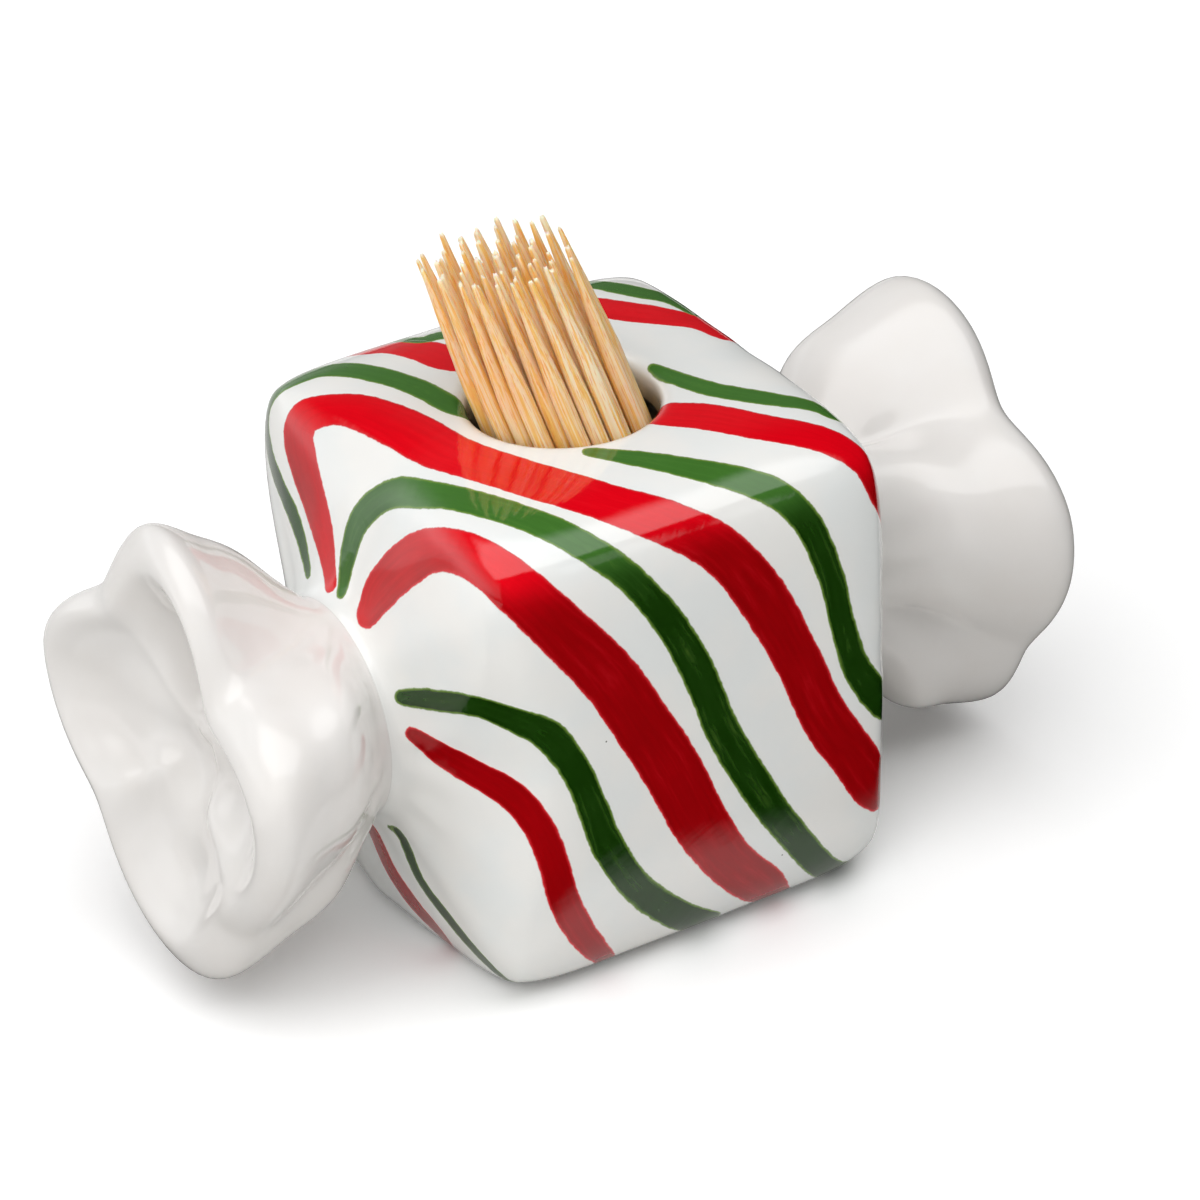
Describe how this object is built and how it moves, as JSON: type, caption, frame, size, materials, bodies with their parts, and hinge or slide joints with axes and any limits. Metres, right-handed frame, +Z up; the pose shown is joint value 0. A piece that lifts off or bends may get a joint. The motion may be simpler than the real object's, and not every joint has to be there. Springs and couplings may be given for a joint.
{
  "type": "toothpick holder",
  "caption": "Glazed ceramic toothpick holder in the form of a wrapped candy, painted with wavy stripes, with a bundle of bamboo toothpicks leaning in its round mouth.",
  "frame": {"origin": "centre of the flat base, on the surface that the holder stands on", "axes": "+X runs along the candy towards its right twist, -Y is the front, +Z is up through the mouth"},
  "size_m": [0.0955, 0.049, 0.069],
  "materials": {
    "painted_glaze": "gloss",
    "white_glaze": "gloss",
    "bamboo": "matte"
  },
  "bodies": {
    "holder": {"candy_body": "painted_glaze", "left_twist": "white_glaze", "right_twist": "white_glaze"},
    "toothpick_01": {"toothpick_01": "bamboo"},
    "toothpick_02": {"toothpick_02": "bamboo"},
    "toothpick_03": {"toothpick_03": "bamboo"},
    "toothpick_04": {"toothpick_04": "bamboo"},
    "toothpick_05": {"toothpick_05": "bamboo"},
    "toothpick_06": {"toothpick_06": "bamboo"},
    "toothpick_07": {"toothpick_07": "bamboo"},
    "toothpick_08": {"toothpick_08": "bamboo"},
    "toothpick_09": {"toothpick_09": "bamboo"},
    "toothpick_10": {"toothpick_10": "bamboo"},
    "toothpick_11": {"toothpick_11": "bamboo"},
    "toothpick_12": {"toothpick_12": "bamboo"},
    "toothpick_13": {"toothpick_13": "bamboo"},
    "toothpick_14": {"toothpick_14": "bamboo"},
    "toothpick_15": {"toothpick_15": "bamboo"},
    "toothpick_16": {"toothpick_16": "bamboo"},
    "toothpick_17": {"toothpick_17": "bamboo"},
    "toothpick_18": {"toothpick_18": "bamboo"},
    "toothpick_19": {"toothpick_19": "bamboo"},
    "toothpick_20": {"toothpick_20": "bamboo"},
    "toothpick_21": {"toothpick_21": "bamboo"},
    "toothpick_22": {"toothpick_22": "bamboo"},
    "toothpick_23": {"toothpick_23": "bamboo"},
    "toothpick_24": {"toothpick_24": "bamboo"},
    "toothpick_25": {"toothpick_25": "bamboo"},
    "toothpick_26": {"toothpick_26": "bamboo"},
    "toothpick_27": {"toothpick_27": "bamboo"},
    "toothpick_28": {"toothpick_28": "bamboo"},
    "toothpick_29": {"toothpick_29": "bamboo"},
    "toothpick_30": {"toothpick_30": "bamboo"},
    "toothpick_31": {"toothpick_31": "bamboo"},
    "toothpick_32": {"toothpick_32": "bamboo"},
    "toothpick_33": {"toothpick_33": "bamboo"},
    "toothpick_34": {"toothpick_34": "bamboo"},
    "toothpick_35": {"toothpick_35": "bamboo"},
    "toothpick_36": {"toothpick_36": "bamboo"},
    "toothpick_37": {"toothpick_37": "bamboo"},
    "toothpick_38": {"toothpick_38": "bamboo"},
    "toothpick_39": {"toothpick_39": "bamboo"},
    "toothpick_40": {"toothpick_40": "bamboo"},
    "toothpick_41": {"toothpick_41": "bamboo"},
    "toothpick_42": {"toothpick_42": "bamboo"},
    "toothpick_43": {"toothpick_43": "bamboo"},
    "toothpick_44": {"toothpick_44": "bamboo"},
    "toothpick_45": {"toothpick_45": "bamboo"},
    "toothpick_46": {"toothpick_46": "bamboo"},
    "toothpick_47": {"toothpick_47": "bamboo"},
    "toothpick_48": {"toothpick_48": "bamboo"},
    "toothpick_49": {"toothpick_49": "bamboo"},
    "toothpick_50": {"toothpick_50": "bamboo"},
    "toothpick_51": {"toothpick_51": "bamboo"},
    "toothpick_52": {"toothpick_52": "bamboo"},
    "toothpick_53": {"toothpick_53": "bamboo"},
    "toothpick_54": {"toothpick_54": "bamboo"},
    "toothpick_55": {"toothpick_55": "bamboo"},
    "toothpick_56": {"toothpick_56": "bamboo"}
  },
  "joints": [
    {"name": "pull_01", "type": "slide", "parent": "holder", "child": "toothpick_01", "axis": [-0.255, 0.2078, 0.9444], "range_m": [0, 0.05]},
    {"name": "pull_02", "type": "slide", "parent": "holder", "child": "toothpick_02", "axis": [-0.255, 0.2078, 0.9444], "range_m": [0, 0.05]},
    {"name": "pull_03", "type": "slide", "parent": "holder", "child": "toothpick_03", "axis": [-0.255, 0.2078, 0.9444], "range_m": [0, 0.05]},
    {"name": "pull_04", "type": "slide", "parent": "holder", "child": "toothpick_04", "axis": [-0.255, 0.2078, 0.9444], "range_m": [0, 0.05]},
    {"name": "pull_05", "type": "slide", "parent": "holder", "child": "toothpick_05", "axis": [-0.255, 0.2078, 0.9444], "range_m": [0, 0.05]},
    {"name": "pull_06", "type": "slide", "parent": "holder", "child": "toothpick_06", "axis": [-0.255, 0.2078, 0.9444], "range_m": [0, 0.05]},
    {"name": "pull_07", "type": "slide", "parent": "holder", "child": "toothpick_07", "axis": [-0.255, 0.2078, 0.9444], "range_m": [0, 0.05]},
    {"name": "pull_08", "type": "slide", "parent": "holder", "child": "toothpick_08", "axis": [-0.255, 0.2078, 0.9444], "range_m": [0, 0.05]},
    {"name": "pull_09", "type": "slide", "parent": "holder", "child": "toothpick_09", "axis": [-0.255, 0.2078, 0.9444], "range_m": [0, 0.05]},
    {"name": "pull_10", "type": "slide", "parent": "holder", "child": "toothpick_10", "axis": [-0.255, 0.2078, 0.9444], "range_m": [0, 0.05]},
    {"name": "pull_11", "type": "slide", "parent": "holder", "child": "toothpick_11", "axis": [-0.255, 0.2078, 0.9444], "range_m": [0, 0.05]},
    {"name": "pull_12", "type": "slide", "parent": "holder", "child": "toothpick_12", "axis": [-0.255, 0.2078, 0.9444], "range_m": [0, 0.05]},
    {"name": "pull_13", "type": "slide", "parent": "holder", "child": "toothpick_13", "axis": [-0.255, 0.2078, 0.9444], "range_m": [0, 0.05]},
    {"name": "pull_14", "type": "slide", "parent": "holder", "child": "toothpick_14", "axis": [-0.255, 0.2078, 0.9444], "range_m": [0, 0.05]},
    {"name": "pull_15", "type": "slide", "parent": "holder", "child": "toothpick_15", "axis": [-0.255, 0.2078, 0.9444], "range_m": [0, 0.05]},
    {"name": "pull_16", "type": "slide", "parent": "holder", "child": "toothpick_16", "axis": [-0.255, 0.2078, 0.9444], "range_m": [0, 0.05]},
    {"name": "pull_17", "type": "slide", "parent": "holder", "child": "toothpick_17", "axis": [-0.255, 0.2078, 0.9444], "range_m": [0, 0.05]},
    {"name": "pull_18", "type": "slide", "parent": "holder", "child": "toothpick_18", "axis": [-0.255, 0.2078, 0.9444], "range_m": [0, 0.05]},
    {"name": "pull_19", "type": "slide", "parent": "holder", "child": "toothpick_19", "axis": [-0.255, 0.2078, 0.9444], "range_m": [0, 0.05]},
    {"name": "pull_20", "type": "slide", "parent": "holder", "child": "toothpick_20", "axis": [-0.255, 0.2078, 0.9444], "range_m": [0, 0.05]},
    {"name": "pull_21", "type": "slide", "parent": "holder", "child": "toothpick_21", "axis": [-0.255, 0.2078, 0.9444], "range_m": [0, 0.05]},
    {"name": "pull_22", "type": "slide", "parent": "holder", "child": "toothpick_22", "axis": [-0.255, 0.2078, 0.9444], "range_m": [0, 0.05]},
    {"name": "pull_23", "type": "slide", "parent": "holder", "child": "toothpick_23", "axis": [-0.255, 0.2078, 0.9444], "range_m": [0, 0.05]},
    {"name": "pull_24", "type": "slide", "parent": "holder", "child": "toothpick_24", "axis": [-0.255, 0.2078, 0.9444], "range_m": [0, 0.05]},
    {"name": "pull_25", "type": "slide", "parent": "holder", "child": "toothpick_25", "axis": [-0.255, 0.2078, 0.9444], "range_m": [0, 0.05]},
    {"name": "pull_26", "type": "slide", "parent": "holder", "child": "toothpick_26", "axis": [-0.255, 0.2078, 0.9444], "range_m": [0, 0.05]},
    {"name": "pull_27", "type": "slide", "parent": "holder", "child": "toothpick_27", "axis": [-0.255, 0.2078, 0.9444], "range_m": [0, 0.05]},
    {"name": "pull_28", "type": "slide", "parent": "holder", "child": "toothpick_28", "axis": [-0.255, 0.2078, 0.9444], "range_m": [0, 0.05]},
    {"name": "pull_29", "type": "slide", "parent": "holder", "child": "toothpick_29", "axis": [-0.255, 0.2078, 0.9444], "range_m": [0, 0.05]},
    {"name": "pull_30", "type": "slide", "parent": "holder", "child": "toothpick_30", "axis": [-0.255, 0.2078, 0.9444], "range_m": [0, 0.05]},
    {"name": "pull_31", "type": "slide", "parent": "holder", "child": "toothpick_31", "axis": [-0.255, 0.2078, 0.9444], "range_m": [0, 0.05]},
    {"name": "pull_32", "type": "slide", "parent": "holder", "child": "toothpick_32", "axis": [-0.255, 0.2078, 0.9444], "range_m": [0, 0.05]},
    {"name": "pull_33", "type": "slide", "parent": "holder", "child": "toothpick_33", "axis": [-0.255, 0.2078, 0.9444], "range_m": [0, 0.05]},
    {"name": "pull_34", "type": "slide", "parent": "holder", "child": "toothpick_34", "axis": [-0.255, 0.2078, 0.9444], "range_m": [0, 0.05]},
    {"name": "pull_35", "type": "slide", "parent": "holder", "child": "toothpick_35", "axis": [-0.255, 0.2078, 0.9444], "range_m": [0, 0.05]},
    {"name": "pull_36", "type": "slide", "parent": "holder", "child": "toothpick_36", "axis": [-0.255, 0.2078, 0.9444], "range_m": [0, 0.05]},
    {"name": "pull_37", "type": "slide", "parent": "holder", "child": "toothpick_37", "axis": [-0.255, 0.2078, 0.9444], "range_m": [0, 0.05]},
    {"name": "pull_38", "type": "slide", "parent": "holder", "child": "toothpick_38", "axis": [-0.255, 0.2078, 0.9444], "range_m": [0, 0.05]},
    {"name": "pull_39", "type": "slide", "parent": "holder", "child": "toothpick_39", "axis": [-0.255, 0.2078, 0.9444], "range_m": [0, 0.05]},
    {"name": "pull_40", "type": "slide", "parent": "holder", "child": "toothpick_40", "axis": [-0.255, 0.2078, 0.9444], "range_m": [0, 0.05]},
    {"name": "pull_41", "type": "slide", "parent": "holder", "child": "toothpick_41", "axis": [-0.255, 0.2078, 0.9444], "range_m": [0, 0.05]},
    {"name": "pull_42", "type": "slide", "parent": "holder", "child": "toothpick_42", "axis": [-0.255, 0.2078, 0.9444], "range_m": [0, 0.05]},
    {"name": "pull_43", "type": "slide", "parent": "holder", "child": "toothpick_43", "axis": [-0.255, 0.2078, 0.9444], "range_m": [0, 0.05]},
    {"name": "pull_44", "type": "slide", "parent": "holder", "child": "toothpick_44", "axis": [-0.255, 0.2078, 0.9444], "range_m": [0, 0.05]},
    {"name": "pull_45", "type": "slide", "parent": "holder", "child": "toothpick_45", "axis": [-0.255, 0.2078, 0.9444], "range_m": [0, 0.05]},
    {"name": "pull_46", "type": "slide", "parent": "holder", "child": "toothpick_46", "axis": [-0.255, 0.2078, 0.9444], "range_m": [0, 0.05]},
    {"name": "pull_47", "type": "slide", "parent": "holder", "child": "toothpick_47", "axis": [-0.255, 0.2078, 0.9444], "range_m": [0, 0.05]},
    {"name": "pull_48", "type": "slide", "parent": "holder", "child": "toothpick_48", "axis": [-0.255, 0.2078, 0.9444], "range_m": [0, 0.05]},
    {"name": "pull_49", "type": "slide", "parent": "holder", "child": "toothpick_49", "axis": [-0.255, 0.2078, 0.9444], "range_m": [0, 0.05]},
    {"name": "pull_50", "type": "slide", "parent": "holder", "child": "toothpick_50", "axis": [-0.255, 0.2078, 0.9444], "range_m": [0, 0.05]},
    {"name": "pull_51", "type": "slide", "parent": "holder", "child": "toothpick_51", "axis": [-0.255, 0.2078, 0.9444], "range_m": [0, 0.05]},
    {"name": "pull_52", "type": "slide", "parent": "holder", "child": "toothpick_52", "axis": [-0.255, 0.2078, 0.9444], "range_m": [0, 0.05]},
    {"name": "pull_53", "type": "slide", "parent": "holder", "child": "toothpick_53", "axis": [-0.255, 0.2078, 0.9444], "range_m": [0, 0.05]},
    {"name": "pull_54", "type": "slide", "parent": "holder", "child": "toothpick_54", "axis": [-0.255, 0.2078, 0.9444], "range_m": [0, 0.05]},
    {"name": "pull_55", "type": "slide", "parent": "holder", "child": "toothpick_55", "axis": [-0.255, 0.2078, 0.9444], "range_m": [0, 0.05]},
    {"name": "pull_56", "type": "slide", "parent": "holder", "child": "toothpick_56", "axis": [-0.255, 0.2078, 0.9444], "range_m": [0, 0.05]}
  ]
}
